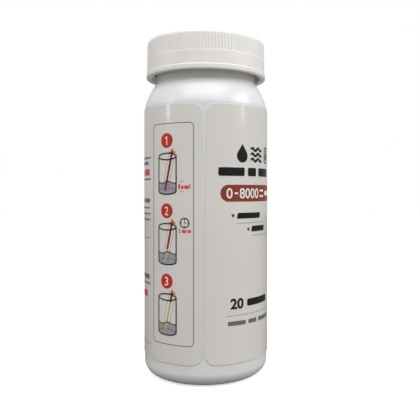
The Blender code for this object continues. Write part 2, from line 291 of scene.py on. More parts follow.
def make_materials():
    return {
        "bottle": moulded_plastic(
            "bottle_plastic", (0.725, 0.735, 0.75), (0.755, 0.765, 0.78), 0.24, 1500.0, 0.15),
        "cap": moulded_plastic("cap_plastic", (0.80, 0.785, 0.775), (0.83, 0.815, 0.805), 0.33, 2200.0, 0.12),
        "label": label_material(),
        "foam": foam_material(),
        "paper": fibre_material("sachet_paper", (0.80, 0.79, 0.75), (0.90, 0.89, 0.86), 0.75, 900.0),
        "laminate": fibre_material("strip_laminate", (0.84, 0.83, 0.80), (0.90, 0.895, 0.87), 0.42, 700.0),
        "reagent": fibre_material("reagent_paper", (0.23, 0.055, 0.025), (0.36, 0.10, 0.045), 0.7, 1600.0),
        "signal": fibre_material("signal_paper", (0.62, 0.22, 0.04), (0.78, 0.33, 0.08), 0.7, 1600.0),
        "black": ink_material("ink_black", (0.012, 0.012, 0.013)),
        "line": ink_material("ink_line", (0.13, 0.11, 0.105)),
        "grey": ink_material("ink_grey", (0.16, 0.15, 0.15)),
        "red": ink_material("ink_red", (0.53, 0.036, 0.018)),
        "note": ink_material("ink_note_red", (0.62, 0.06, 0.045)),
        "brown": ink_material("ink_brown", (0.25, 0.046, 0.025)),
        "column": ink_material("ink_column", (0.26, 0.04, 0.018)),
        "orange": ink_material("ink_orange", (0.58, 0.14, 0.03)),
        "yellow": ink_material("ink_yellow", (0.50, 0.46, 0.13)),
        "water": ink_material("ink_water", (0.34, 0.34, 0.385)),
        "pale": ink_material("ink_pale", (0.80, 0.78, 0.74)),
        "white": ink_material("ink_white", (0.86, 0.85, 0.83)),
    }


# --- mesh tools


def add_object(name, data):
    made = bpy.data.objects.new(name, data)
    bpy.context.scene.collection.objects.link(made)
    return made


def new_object(name, work, finish, smooth_degrees=40.0, recalculate=True):
    """Makes an object from a bmesh, with outward normals and smooth shading up to an angle."""
    if recalculate:
        bmesh.ops.recalc_face_normals(work, faces=work.faces)
    mesh = bpy.data.meshes.new(name)
    work.to_mesh(mesh)
    work.free()
    mesh.materials.append(finish)
    mesh.shade_smooth()
    mesh.set_sharp_from_angle(angle=math.radians(smooth_degrees))
    return add_object(name, mesh)


def settle(obj, body, slot, *nodes):
    """Gives a piece its body and hides the CAD nodes that it stands for. The slot is not used."""
    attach(obj, body)
    if nodes:
        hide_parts(*nodes)
    return obj


def arc(centre_r, centre_z, radius, start, end, steps=8):
    """Points of a profile arc, with angles in degrees from +X towards +Z."""
    points = []
    for k in range(steps + 1):
        angle = math.radians(start + (end - start) * k / steps)
        points.append((centre_r + radius * math.cos(angle), centre_z + radius * math.sin(angle)))
    return points


def lathe(profile, angles, shape=None):
    """A closed bmesh turned about Z. shape(r, z, angle) may move a point; ends at r 0 become poles."""
    work = bmesh.new()
    rings = []
    for r, z in profile:
        if r < 1e-7:
            rings.append([work.verts.new((0.0, 0.0, z))] * len(angles))
            continue
        ring = []
        for angle in angles:
            radius, height = shape(r, z, angle) if shape else (r, z)
            ring.append(work.verts.new((radius * math.cos(angle), radius * math.sin(angle), height)))
        rings.append(ring)
    for upper, lower in zip(rings, rings[1:]):
        for k in range(len(angles)):
            following = (k + 1) % len(angles)
            corners = [upper[k], lower[k], lower[following], upper[following]]
            unique = list(dict.fromkeys(corners))
            if len(unique) > 2:
                work.faces.new(unique)
    return work


def bridge(work, first, second):
    """Quads between two closed rings of points."""
    for k in range(len(first)):
        following = (k + 1) % len(first)
        work.faces.new((first[k], second[k], second[following], first[following]))


def border(grid):
    """The points round the edge of a grid of rows, in order."""
    ends = [row[-1] for row in grid[1:]]
    starts = [row[0] for row in grid[-2:0:-1]]
    return grid[0] + ends + grid[-1][-2::-1] + starts


def even_angles(count):
    return [math.tau * k / count for k in range(count)]


def densify(profile, longest):
    """Adds points along a profile's straight runs so that no step is longer than this."""
    points = [profile[0]]
    for (r0, z0), (r1, z1) in zip(profile, profile[1:]):
        parts = max(1, math.ceil(math.hypot(r1 - r0, z1 - z0) / longest))
        for k in range(1, parts + 1):
            share = k / parts
            points.append((r0 + (r1 - r0) * share, z0 + (z1 - z0) * share))
    return points


def smooth_step(value, low, high):
    share = min(1.0, max(0.0, (value - low) / (high - low)))
    return share * share * (3.0 - 2.0 * share)


def thread_ridge(name, wall_radius, inward, start_z, start_angle, body, slot, finish):
    """A helical ridge of trapezoid section that rises out of the wall and runs out at both ends."""
    per_turn = 96
    count = int(per_turn * THREAD_TURNS) + 1
    half_root, half_crest, height = 1.0 * MM, 0.45 * MM, 0.95 * MM
    buried = 0.35 * MM
    work = bmesh.new()
    sections = []
    for k in range(count):
        angle = start_angle + math.tau * k / per_turn
        middle = start_z + THREAD_PITCH * k / per_turn
        rise = smooth_step(min(k, count - 1 - k), 0, 14)
        crest = height * (0.05 + 0.95 * rise)
        outline = [(-buried, -half_root), (0.0, -half_root), (0.75 * crest, -half_crest - 0.15 * MM)]
        outline += [(crest, -half_crest + 0.12 * MM), (crest, half_crest - 0.12 * MM)]
        outline += [(0.75 * crest, half_crest + 0.15 * MM), (0.0, half_root), (-buried, half_root)]
        ring = []
        for out, up in outline:
            r = wall_radius - out if inward else wall_radius + out
            ring.append(work.verts.new((r * math.cos(angle), r * math.sin(angle), middle + up)))
        sections.append(ring)
    for first, second in zip(sections, sections[1:]):
        bridge(work, first, second)
    work.faces.new(sections[0])
    work.faces.new(list(reversed(sections[-1])))
    return settle(new_object(name, work, finish, 50.0), body, slot)


# --- bottle


def shoulder_points():
    """The outside of the shoulder, from the body up to the foot of the neck."""
    power = 2.0 / SHOULDER_POWER
    depth = SHELL_RADIUS - SHOULDER_NARROW
    cut = math.acos(((NECK_RADIUS - SHOULDER_NARROW) / depth) ** (1.0 / power))
    points = []
    for k in range(SHOULDER_STEPS + 1):
        angle = cut * (k / SHOULDER_STEPS) ** 1.3
        r = SHOULDER_NARROW + depth * math.cos(angle) ** power
        points.append((r, SHOULDER_START_Z + SHOULDER_RISE * math.sin(angle) ** power))
    return points


def heel(outer_radius, base_z, width, height):
    """A quarter of an ellipse from the outer wall down to the base."""
    quarter = arc(0.0, 0.0, 1.0, 0, -90, 14)
    centre_r = outer_radius - width
    return [(centre_r + width * x, base_z + height * (1.0 + z)) for x, z in quarter]


def bottle_profile():
    """From the inside floor's centre, up the inner wall, over the rim, down outside, to the base."""
    floor_z = PUSH_UP + FLOOR_THICKNESS
    inner_radius = SHELL_RADIUS - WALL
    inner_heel = (HEEL_WIDTH - INNER_HEEL_INSET, HEEL_HEIGHT - INNER_HEEL_INSET)
    shoulder = shoulder_points()
    inner_shoulder = [(r - SHOULDER_WALL_IN, z - SHOULDER_WALL_DOWN) for r, z in shoulder[3:-2]]

    points = [(0.0, floor_z), (0.5 * RING_INNER_RADIUS, floor_z)]
    points += [(RING_INNER_RADIUS - 2.4 * MM, floor_z - 0.05 * MM)]
    points += [(RING_INNER_RADIUS - 1.8 * MM, floor_z - 0.25 * MM)]
    points += [(RING_INNER_RADIUS - 0.2 * MM, FLOOR_THICKNESS + 0.2 * MM)]
    points += [(RING_INNER_RADIUS + 0.6 * MM, FLOOR_THICKNESS)]
    points += reversed(heel(inner_radius, FLOOR_THICKNESS, *inner_heel))
    points.append((inner_radius, SHOULDER_START_Z - 1.2 * MM))
    points += inner_shoulder
    points.append((BORE_RADIUS, BORE_START_Z))
    points += arc(BORE_RADIUS + NECK_EDGE, NECK_RIM_Z - NECK_EDGE, NECK_EDGE, 180, 90, 5)
    points += arc(NECK_RADIUS - NECK_EDGE, NECK_RIM_Z - NECK_EDGE, NECK_EDGE, 90, 0, 5)
    neck_foot_z = shoulder[-1][1]
    points += [(NECK_RADIUS, neck_foot_z + 0.5 * MM), (NECK_RADIUS + 0.04 * MM, neck_foot_z + 0.15 * MM)]
    points += reversed(shoulder[:-1])
    points += heel(SHELL_RADIUS, 0.0, HEEL_WIDTH, HEEL_HEIGHT)
    points += [(RING_INNER_RADIUS + 0.3 * MM, 0.0), (RING_INNER_RADIUS - 0.4 * MM, 0.08 * MM)]
    points += [(RING_INNER_RADIUS - 2.3 * MM, PUSH_UP - 0.35 * MM)]
    points += [(RING_INNER_RADIUS - 3.4 * MM, PUSH_UP - 0.1 * MM), (0.0, PUSH_UP)]
    return points


def bottle_angles():
    """Even steps, with extra columns across the two mould lines."""
    spread = [k * 0.12 * MM / BODY_RADIUS for k in range(-4, 5)]
    fine = [line + offset for line in MOULD_LINE_ANGLES for offset in spread]
    coarse = []
    for angle in even_angles(180):
        nearest = min(abs(math.remainder(angle - other, math.tau)) for other in fine)
        if nearest > math.radians(0.6):
            coarse.append(angle)
    return sorted(angle % math.tau for angle in coarse + fine)


def mould_line(r, z, angle):
    """A hair-thin ridge down both sides of shoulder and heel where the two mould halves met."""
    on_shoulder = z > SHOULDER_START_Z and r > NECK_RADIUS + 0.1 * MM
    on_heel = 0.6 * MM < z < HEEL_HEIGHT and r > SHELL_RADIUS - 0.6 * WALL
    if not on_shoulder and not on_heel:
        return r, z
    away = min(abs(math.remainder(angle - line, math.tau)) for line in MOULD_LINE_ANGLES)
    return r + 0.05 * MM * math.exp(-((away * BODY_RADIUS / (0.16 * MM)) ** 2)), z


def make_bottle(materials):
    work = lathe(densify(bottle_profile(), 4.0 * MM), bottle_angles(), mould_line)
    bottle = new_object("bottle_shell", work, materials["bottle"], 38.0)
    settle(bottle, "bottle", "bottle_plastic", "bottle")
    thread_ridge("neck_thread", NECK_RADIUS, False, NECK_THREAD_Z, 0.0,
                 "bottle", "bottle_plastic", materials["bottle"])


# --- label


def round_corners(u0, z0, u1, z1, radius, steps):
    """The outline of a rectangle with rounded corners, from its upper right corner on."""
    points = []
    for centre_u, centre_z, start in (
        (u1 - radius, z1 - radius, 0), (u0 + radius, z1 - radius, 90),
        (u0 + radius, z0 + radius, 180), (u1 - radius, z0 + radius, 270),
    ):
        points += arc(centre_u, centre_z, radius, start, start + 90, steps)
    return points


def label_point(u, z, radius):
    angle = FRONT_ANGLE + u / LABEL_RADIUS
    return (radius * math.cos(angle), radius * math.sin(angle), z)


def label_ends():
    """Distances along the label, from its middle line, of its left and right ends at its foot."""
    left = (SEAM_ANGLE - FRONT_ANGLE) * LABEL_RADIUS + 0.5 * SEAM_WIDTH
    return left, left + math.tau * LABEL_RADIUS - SEAM_WIDTH


def label_columns(length, half, inset):
    """(distance along, half height) of each column of the film's outline, drawn in by the inset."""
    corner_steps, straight_steps = 12, 240
    corner = LABEL_CORNER - inset
    columns = []
    for k in range(corner_steps + 1):
        angle = 0.5 * math.pi * k / corner_steps
        drop = inset + corner * (1.0 - math.sin(angle))
        columns.append((inset + corner * (1.0 - math.cos(angle)), half - drop))
    span = length - 2.0 * LABEL_CORNER
    straight = [(LABEL_CORNER + span * k / straight_steps, half - inset) for k in range(1, straight_steps)]
    return columns + straight + [(length - u, height) for u, height in reversed(columns)]


def make_label(materials):
    """The film: an outline with rounded corners, bent round the bottle as a thin closed shell."""
    left, right = label_ends()
    half = 0.5 * (LABEL_TOP_Z - LABEL_BOTTOM_Z)
    middle = 0.5 * (LABEL_TOP_Z + LABEL_BOTTOM_Z)
    rows = 24
    work = bmesh.new()
    edges = []
    for radius, inset in ((LABEL_RADIUS, LABEL_EDGE), (LABEL_RADIUS - LABEL_THICKNESS, 0.0)):
        grid = []
        for u, height in label_columns(right - left, half, inset):
            column = []
            for row in range(rows + 1):
                z = middle + height * (2.0 * row / rows - 1.0)
                # The left end was laid on a little askew, so the seam opens towards the top
                skew = max(0.0, 1.0 - u / (3.0 * LABEL_CORNER))
                rise = max(0.0, (z - middle) / half)
                lean = SEAM_WIDER_AT_TOP * skew * rise ** 1.3
                column.append(work.verts.new(label_point(left + u + lean, z, radius)))
            grid.append(column)
        for first, second in zip(grid, grid[1:]):
            for row in range(rows):
                work.faces.new((first[row], second[row], second[row + 1], first[row + 1]))
        edges.append(border(grid))
    outer_edge, inner_edge = edges
    bridge(work, inner_edge, outer_edge)
    label = new_object("label_wrap", work, materials["label"], 25.0)
    settle(label, "bottle", "label_film", "label")


class Ink:
    """Flat convex patches on the label in one colour, cut into narrow cells and bent round it."""

    def __init__(self, name, finish, level):
        self.name = name
        self.finish = finish
        self.level = level
        self.patches = []

    def patch(self, points):
        """Adds a convex polygon of (u, z) points in millimetres, z from the foot of the print's grid."""
        self.patches.append([(u * MM, z * MM + PRINT_RISE) for u, z in points])

    def rounded(self, u0, z0, u1, z1, radius, slant=0.0):
        """A rectangle with round corners. slant leans it to the right by that share of its height."""
        radius = min(radius, 0.5 * (u1 - u0), 0.5 * (z1 - z0))
        outline = round_corners(u0, z0, u1, z1, radius, 6 if radius > 0.4 else 3)
        self.patch([(u + slant * (z - z0), z) for u, z in outline])

    def ellipse(self, u, z, half_u, half_z, steps=40):
        turn = math.tau / steps
        self.patch([(u + half_u * math.cos(turn * k), z + half_z * math.sin(turn * k)) for k in range(steps)])

    def stroke(self, points, width, closed=False):
        """A line of even width along the points, as one patch for each step."""
        count = len(points)
        sides = []
        for k, (u, z) in enumerate(points):
            before = points[(k - 1) % count] if closed or k > 0 else points[0]
            after = points[(k + 1) % count] if closed or k < count - 1 else points[-1]
            along = Vector((after[0] - before[0], after[1] - before[1])).normalized()
            across = Vector((-along.y, along.x)) * 0.5 * width
            sides.append(((u + across.x, z + across.y), (u - across.x, z - across.y)))
        last = count if closed else count - 1
        for k in range(last):
            first, second = sides[k], sides[(k + 1) % count]
            self.patch([first[0], first[1], second[1], second[0]])

    def frame(self, u0, z0, u1, z1, radius, width):
        self.stroke(round_corners(u0, z0, u1, z1, radius, 8), width, True)

    def ring(self, u, z, half_u, half_z, width, start=0.0, end=360.0):
        points = [(u + half_u * x, z + half_z * y) for x, y in arc(0.0, 0.0, 1.0, start, end, 48)]
        whole = end - start >= 360.0
        self.stroke(points[:-1] if whole else points, width, whole)

    def blocks(self, u, z, height, widths, gap, slant=0.0):
        """Type set as plain blocks, one for each letter; a width below nought is a space."""
        for width in widths:
            if width < 0.0:
                u -= width
                continue
            self.rounded(u, z, u + width, z + height, 0.16 * height, slant)
            u += width + gap

    def words(self, u0, u1, z, height, seed):
        """A line of small type set as one bar for each word."""
        draw = random.Random(seed)
        u = u0
        while u < u1 - 1.2 * height:
            end = min(u1, u + height * draw.uniform(2.0, 6.0))
            self.rounded(u, z, end, z + height, 0.25 * height)
            u = end + 0.7 * height

    def digits(self, text, u0, u1, z0, z1, weight=0.012):
        """Figures from Blender's own font, scaled to fill the box."""
        curve = bpy.data.curves.new("digits", "FONT")
        curve.body = text
        curve.offset = weight
        curve.resolution_u = 4
        holder = add_object("digits", curve)
        bpy.context.view_layer.update()
        graph = bpy.context.evaluated_depsgraph_get()
        mesh = bpy.data.meshes.new_from_object(holder.evaluated_get(graph))
        bpy.data.objects.remove(holder, do_unlink=True)
        work = bmesh.new()
        work.from_mesh(mesh)
        bpy.data.meshes.remove(mesh)
        bmesh.ops.triangulate(work, faces=work.faces)
        xs = [vertex.co.x for vertex in work.verts]
        ys = [vertex.co.y for vertex in work.verts]
        wide, tall = max(xs) - min(xs), max(ys) - min(ys)
        left, foot = min(xs), min(ys)
        for face in work.faces:
            shares = [((vertex.co.x - left) / wide, (vertex.co.y - foot) / tall) for vertex in face.verts]
            self.patch([(u0 + across * (u1 - u0), z0 + up * (z1 - z0)) for across, up in shares])
        work.free()

    def cells(self, points):
        """A convex polygon cut at every INK_CELL of the label's length."""
        low = min(u for u, _ in points)
        high = max(u for u, _ in points)
        first, last = math.floor(low / INK_CELL), math.ceil(high / INK_CELL)
        for k in range(first, last):
            part = clip(points, k * INK_CELL, 1.0)
            part = clip(part, (k + 1) * INK_CELL, -1.0)
            if len(part) > 2:
                yield part

    def build(self):
        """Welds the cells and extrudes them into a thin film. Its underside's faces point outwards too."""
        work = bmesh.new()
        radius = LABEL_RADIUS + self.level * INK_STEP
        for points in self.patches:
            for part in self.cells(points):
                work.faces.new([work.verts.new(label_point(u, z, radius)) for u, z in part])
        bmesh.ops.remove_doubles(work, verts=work.verts, dist=0.0005 * MM)
        bmesh.ops.dissolve_degenerate(work, edges=work.edges, dist=0.0005 * MM)
        for face in work.faces:
            centre = face.calc_center_median()
            if face.normal.x * centre.x + face.normal.y * centre.y < 0.0:
                face.normal_flip()
        under = work.faces[:]
        risen = bmesh.ops.extrude_face_region(work, geom=under, use_keep_orig=True)["geom"]
        for vertex in (item for item in risen if isinstance(item, bmesh.types.BMVert)):
            grow = 1.0 + INK_THICKNESS / radius
            vertex.co.x *= grow
            vertex.co.y *= grow
        # The operator has already turned these faces inwards, so this turns them outwards again
        for face in under:
            face.normal_flip()
        film = new_object(self.name, work, self.finish, 30.0, recalculate=False)
        settle(film, "bottle", "label_film")


def clip(points, limit, keep):
    """The part of a convex polygon on one side of a line of constant u."""
    kept = []
    for k, (u1, z1) in enumerate(points):
        u0, z0 = points[k - 1]
        inside0, inside1 = keep * (u0 - limit) >= 0.0, keep * (u1 - limit) >= 0.0
        if inside0 != inside1:
            share = (limit - u0) / (u1 - u0)
            kept.append((limit, z0 + share * (z1 - z0)))
        if inside1:
            kept.append((u1, z1))
    return kept


def draw_glass(inks, u, top_z, bottom_z):
    """A glass seen a little from above, with rippled water in it."""
    half, squash, line_width = 3.28, 0.95, 0.37
    left, right = u - half, u + half
    water_z = top_z - 7.6
    steps = 20
    wave = [water_z + 0.3 * math.sin(math.tau * 1.5 * k / steps + 2.6) for k in range(steps + 1)]
    across = [left + 2.0 * half * k / steps for k in range(steps + 1)]
    foot = [bottom_z - squash * math.sqrt(max(0.0, 1.0 - ((x - u) / half) ** 2)) for x in across]
    for k in range(steps):
        inks["water"].patch([
            (across[k], wave[k]), (across[k], foot[k]),
            (across[k + 1], foot[k + 1]), (across[k + 1], wave[k + 1]),
        ])
    black = inks["black"]
    black.stroke(list(zip(across, wave)), 0.26)
    for side in (left, right):
        black.stroke([(side, top_z), (side, bottom_z)], line_width)
    black.ring(u, bottom_z, half, squash, line_width, 180.0, 360.0)
    inks["line"].ring(u, bottom_z, half - 0.2, squash, 0.16, 0.0, 180.0)
    black.ring(u, top_z, half, squash, line_width)


def draw_dipped_strip(inks, foot, head, changed):
    """A leaning strip, from its foot up: the share of its column that each tone reaches, and its head."""
    run = head - foot
    lean = Vector((run.y, -run.x)).normalized()

    def band(name, start, end, half):
        quad = [start - lean * half, start + lean * half, end + lean * half, end - lean * half]
        inks[name].patch([tuple(corner) for corner in quad])

    band("pale", foot, head, 1.0)
    for side in (-1.0, 1.0):
        inks["hair"].stroke([tuple(foot + lean * side), tuple(head + lean * side)], 0.12)
    start = foot
    for share, name in changed:
        end = foot + run * share
        band(name, start, end, 0.40 if name == "column" else 0.34)
        start = end
    inks["orange"].rounded(head.x - 1.05, head.y - 0.75, head.x + 1.05, head.y - 0.3, 0.2)
    inks["orange"].rounded(head.x - 0.42, head.y - 0.2, head.x + 0.42, head.y + 0.5, 0.2)


def draw_clock(black, u, z, radius):
    """A ring with four ticks and two hands."""
    black.ring(u, z, radius, radius, 0.3)
    for along, up in ((1.0, 0.0), (0.0, 1.0), (-1.0, 0.0), (0.0, -1.0)):
        near, far = radius - 0.61, radius - 0.16
        black.stroke([(u + near * along, z + near * up), (u + far * along, z + far * up)], 0.2)
    black.stroke([(u, z - 0.1), (u, z + 0.65)], 0.18)
    black.stroke([(u, z), (u + 0.5, z)], 0.18)


def draw_steps_panel(inks):
    """Three numbered drawings in a tall frame: dip the strip, wait, and read it."""
    white, note = inks["top_white"], inks["note"]
    inks["line"].frame(-32.8, 12.0, -18.2, 77.1, 1.3, 0.2)
    stages = (
        [(1.0, "column")],
        [(0.30, "yellow"), (1.0, "column")],
        [(0.74, "yellow"), (1.0, "column")],
    )
    for k, changed in enumerate(stages):
        circle_z = 72.05 - STEP_PITCH * k
        low, high = circle_z - 1.3, circle_z + 1.25
        inks["red"].ellipse(-27.0, circle_z, 2.2, 2.22)
        if k == 0:
            white.rounded(-27.1, low, -26.78, high, 0.05)
            white.stroke([(-27.6, circle_z + 0.65), (-26.98, circle_z + 1.1)], 0.28)
        else:
            white.digits(str(k + 1), -27.7, -26.35, low, high, 0.004)
        glass_u, top_z = -26.9, 67.35 - STEP_PITCH * k
        bottom_z = top_z - 10.2
        draw_glass(inks, glass_u, top_z, bottom_z)
        foot, head = Vector((glass_u - 0.65, bottom_z + 0.1)), Vector((glass_u + 2.0, bottom_z + 11.9))
        draw_dipped_strip(inks, foot, head, changed)
    note.digits("1", -22.9, -22.35, 57.75, 59.15)
    note.blocks(-22.0, 57.75, 1.0, (0.75, 1.3), 0.25)
    note.rounded(-19.5, 57.75, -19.2, 59.15, 0.12)
    for z in (59.96, 57.05):
        note.stroke([(-22.6, z), (-21.3, z)], 0.16)
    draw_clock(inks["black"], -20.95, 47.85, 1.36)
    note.digits("5", -22.8, -22.15, 44.85, 46.1)
    note.blocks(-21.7, 44.9, 0.95, (1.1, 0.35, 0.8), 0.22)


def draw_drop(ink, u, z, radius, tall):
    """A solid water drop: a round belly under a pointed top."""
    ink.ellipse(u, z + radius, radius, radius, 32)
    lean = math.acos(radius / (tall - radius))
    side = radius * math.sin(lean)
    rise = radius * math.cos(lean)
    ink.patch([(u - side, z + radius + rise), (u + side, z + radius + rise), (u, z + tall)])


def draw_pictograms(inks):
    black = inks["black"]
    draw_drop(black, -3.2, 65.6, 1.95, 5.5)
    steps = 24
    for z in (66.5, 68.1, 69.7):
        shares = [k / steps for k in range(steps + 1)]
        black.stroke([(0.2 + 5.6 * x, z + 0.38 * math.sin(2.0 * math.tau * x)) for x in shares], 0.75)
    black.frame(8.1, 65.95, 10.5, 70.6, 0.45, 0.42)
    black.rounded(8.85, 66.7, 9.75, 69.0, 0.15)
    black.rounded(8.85, 69.3, 9.75, 69.9, 0.15)


def draw_title_panel(inks):
    """Headline, measuring range, two bullets and the number of strips, centred together."""
    black, grey, line, white = inks["black"], inks["grey"], inks["line"], inks["top_white"]
    draw_pictograms(inks)
    for u0, u1 in ((-11.0, -2.4), (-1.1, 2.6), (3.9, 11.0)):
        black.rounded(u0, 61.6, u1, 64.1, 0.5)
    inks["brown"].rounded(-10.4, 54.0, 15.8, 59.0, 2.5)
    white.digits("0", -8.55, -6.6, 54.95, 58.0)
    white.rounded(-5.9, 56.2, -4.75, 56.75, 0.1)
    white.digits("8000", -4.2, 3.9, 54.95, 58.0)
    for z in (57.0, 55.3):
        white.rounded(4.7, z, 7.1, z + 0.6, 0.2)
    white.rounded(8.2, 55.8, 13.6, 57.2, 0.35)
    inks["note_dot"].ellipse(-6.45, 49.95, 0.5, 0.5, 20)
    black.rounded(-5.2, 49.0, 4.6, 50.7, 0.4, 0.2)
    line.stroke([(-5.3, 47.65), (8.0, 47.65)], 0.12)
    inks["note_dot"].ellipse(-0.9, 45.8, 0.5, 0.5, 20)
    black.rounded(0.3, 45.0, 7.4, 46.7, 0.4, 0.2)
    line.stroke([(0.6, 43.8), (11.0, 43.8)], 0.12)
    black.digits("20", -7.3, -2.8, 22.4, 25.6, 0.035)
    black.rounded(-1.4, 22.9, 9.4, 25.0, 0.5)
    for k in range(20):
        dash = -8.2 + 1.1 * k
        grey.rounded(dash, 20.4, dash + 0.6, 20.65, 0.05)
    for u0, u1 in ((-8.1, -1.9), (-0.9, 2.8), (3.8, 11.6)):
        grey.rounded(u0, 17.6, u1, 18.9, 0.35)


def draw_side_text(inks):
    """The two text blocks left of the steps: rows of small type with a few strong words."""
    left, right = -57.0, -34.8
    rows = (
        (67.05, 0.6, "line"), (65.2, 1.0, "grey"), (61.9, 2.0, "note"), (60.55, 0.5, "line"),
        (53.6, 1.3, "grey"), (51.75, 0.5, "line"), (49.95, 0.5, "line"), (48.15, 0.5, "line"),
        (30.2, 1.5, "grey"), (28.65, 0.5, "line"), (24.6, 2.0, "note"),
    )
    for k, (z, height, name) in enumerate(rows):
        inks[name].words(left, right - 0.35 * (k % 3), z, height, 100 + k)
    for z in (42.8, 10.7):
        inks["line"].stroke([(left, z), (right, z)], 0.14)


def draw_scale_panel(inks):
    """A large drawing of one strip beside a numbered scale, under a heading."""
    black, line = inks["black"], inks["line"]
    left, right = 44.5, 62.5
    line.frame(left, 12.0, right, 77.1, 1.3, 0.24)
    inks["brown"].rounded(left + 1.2, 71.4, right - 1.2, 75.6, 2.1)
    inks["top_white"].blocks(left + 4.0, 72.5, 2.0, (1.4, 1.4, 1.4, 1.3, 1.4), 0.35)
    strip_u, half = left + 4.6, 2.4
    inks["pale"].rounded(strip_u - half, 15.0, strip_u + half, 69.0, 0.5)
    line.frame(strip_u - half, 15.0, strip_u + half, 69.0, 0.5, 0.14)
    inks["column"].rounded(strip_u - 0.7, 37.0, strip_u + 0.7, 62.0, 0.1)
    inks["yellow"].rounded(strip_u - 0.7, 18.0, strip_u + 0.7, 37.0, 0.1)
    inks["orange"].rounded(strip_u - 1.4, 63.4, strip_u + 1.4, 64.6, 0.2)
    side = strip_u + half
    for k in range(10):
        z = 18.5 + 4.7 * k
        black.stroke([(side + 0.5, z), (side + 2.0, z)], 0.18)
        black.digits(str(k), side + (3.05 if k == 1 else 2.5), side + 3.4, z - 0.7, z + 0.7)
        line.words(side + 4.6, right - 1.0, z - 0.35, 0.7, 300 + k)


def draw_table_panel(inks):
    """A plain two-column table: shaded rows under a coloured heading."""
    line, cell = inks["line"], inks["top_black"]
    left, right = 21.5, 40.0
    line.frame(left, 30.5, right, 77.1, 1.3, 0.24)
    inks["brown"].rounded(left + 1.0, 72.0, right - 1.0, 75.9, 0.6)
    for heading in (left + 2.2, left + 11.0):
        inks["top_white"].blocks(heading, 73.0, 1.8, (1.2, 1.2, 1.2), 0.3)
    middle = 0.5 * (left + right)
    for k in range(12):
        z = 68.6 - 3.15 * k
        if k % 2 == 0:
            inks["tint"].rounded(left + 1.0, z - 0.75, right - 1.0, z + 2.1, 0.2)
        cell.words(left + 2.6, left + 7.6, z, 1.25, 400 + k)
        cell.words(middle + 2.2, right - 2.2, z, 1.25, 500 + k)
    cell.stroke([(middle, 71.2), (middle, 32.4)], 0.12)
    for k in range(9):
        line.words(left + 0.4, right - 0.4 - (k % 3), 27.0 - 1.75 * k, 0.75, 600 + k)


def make_print(materials):
    names = {
        "pale": ("print_pale", "pale", 1), "tint": ("print_tint", "pale", 1),
        "red": ("print_red", "red", 1), "brown": ("print_brown", "brown", 1),
        "water": ("print_water", "water", 1), "note": ("print_note", "note", 1),
        "note_dot": ("print_dots", "brown", 1), "grey": ("print_grey", "grey", 1),
        "line": ("print_lines", "line", 2), "hair": ("print_hairlines", "grey", 2),
        "yellow": ("print_yellow", "yellow", 3), "column": ("print_column", "column", 3),
        "orange": ("print_orange", "orange", 3), "top_white": ("print_white", "white", 3),
        "black": ("print_black", "black", 4), "top_black": ("print_table", "line", 3),
    }
    inks = {key: Ink(name, materials[finish], level) for key, (name, finish, level) in names.items()}
    draw_steps_panel(inks)
    draw_title_panel(inks)
    draw_side_text(inks)
    draw_scale_panel(inks)
    draw_table_panel(inks)
    for ink in inks.values():
        ink.build()


# --- cap and liner


def cap_profile():
    """From the centre of the top, over the edge, down outside, round the rim and up inside."""
    underside = CAP_TOP_Z - CAP_PLATE
    edge_r = CAP_TAPER * CAP_SKIRT_RADIUS - CAP_TOP_EDGE
    rim_top = CAP_BOTTOM_Z + RIM_HEIGHT
    wall_top = CAP_TOP_Z - CAP_TOP_EDGE
    # A shallow dimple in the middle, where the mould was filled
    points = [(0.0, CAP_TOP_Z - 0.15 * MM), (0.9 * MM, CAP_TOP_Z - 0.15 * MM)]
    points += [(1.1 * MM, CAP_TOP_Z - 0.05 * MM), (1.4 * MM, CAP_TOP_Z)]
    points += arc(edge_r, wall_top, CAP_TOP_EDGE, 90, 0, 12)
    heights = [wall_top + (RIB_BOTTOM_Z + 0.4 * MM - wall_top) * k / 10 for k in range(1, 11)]
    heights += [RIB_BOTTOM_Z + (0.4 - 0.09 * k) * MM for k in range(1, 10)]
    heights += [rim_top + (RIB_BOTTOM_Z - 0.4 * MM - rim_top) * (1.0 - k / 5) for k in range(1, 5)]
    for z in heights:
        share = (wall_top - z) / (wall_top - rim_top)
        points.append((CAP_SKIRT_RADIUS * (CAP_TAPER + (1.0 - CAP_TAPER) * share), z))
    upper_r, lower_r = CAP_RIM_RADIUS - RIM_UPPER_EDGE, CAP_RIM_RADIUS - RIM_LOWER_EDGE
    start = math.degrees(math.acos((CAP_SKIRT_RADIUS - upper_r) / RIM_UPPER_EDGE))
    points += arc(upper_r, rim_top - RIM_UPPER_EDGE, RIM_UPPER_EDGE, start, 0, 6)
    points += arc(lower_r, CAP_BOTTOM_Z + RIM_LOWER_EDGE, RIM_LOWER_EDGE, 0, -90, 6)
    points += arc(CAP_BORE_RADIUS + 0.4 * MM, CAP_BOTTOM_Z + 0.4 * MM, 0.4 * MM, -90, -180, 4)
    # A low bead that holds the liner in
    points += [(CAP_BORE_RADIUS, underside - 1.7 * MM), (CAP_BORE_RADIUS - 0.2 * MM, underside - 1.45 * MM)]
    points += [(CAP_BORE_RADIUS, underside - 1.2 * MM), (CAP_BORE_RADIUS, underside), (0.0, underside)]
    return points


def cap_ribs(r, z, angle):
    """Grip ribs as grooves in the wall, from halfway up the skirt to the rounded top edge."""
    if r < CAP_BORE_RADIUS + 0.4 * MM or z < RIB_BOTTOM_Z - RIB_RUN_OUT:
        return r, z
    low = smooth_step(z, RIB_BOTTOM_Z - 0.5 * RIB_RUN_OUT, RIB_BOTTOM_Z + 0.5 * RIB_RUN_OUT)
    high = 1.0 - smooth_step(z, CAP_TOP_Z - 0.75 * CAP_TOP_EDGE, CAP_TOP_Z - 0.15 * CAP_TOP_EDGE)
    groove = 0.5 - 0.5 * math.cos(RIB_COUNT * angle)
    return r - RIB_DEPTH * low * high * groove, z


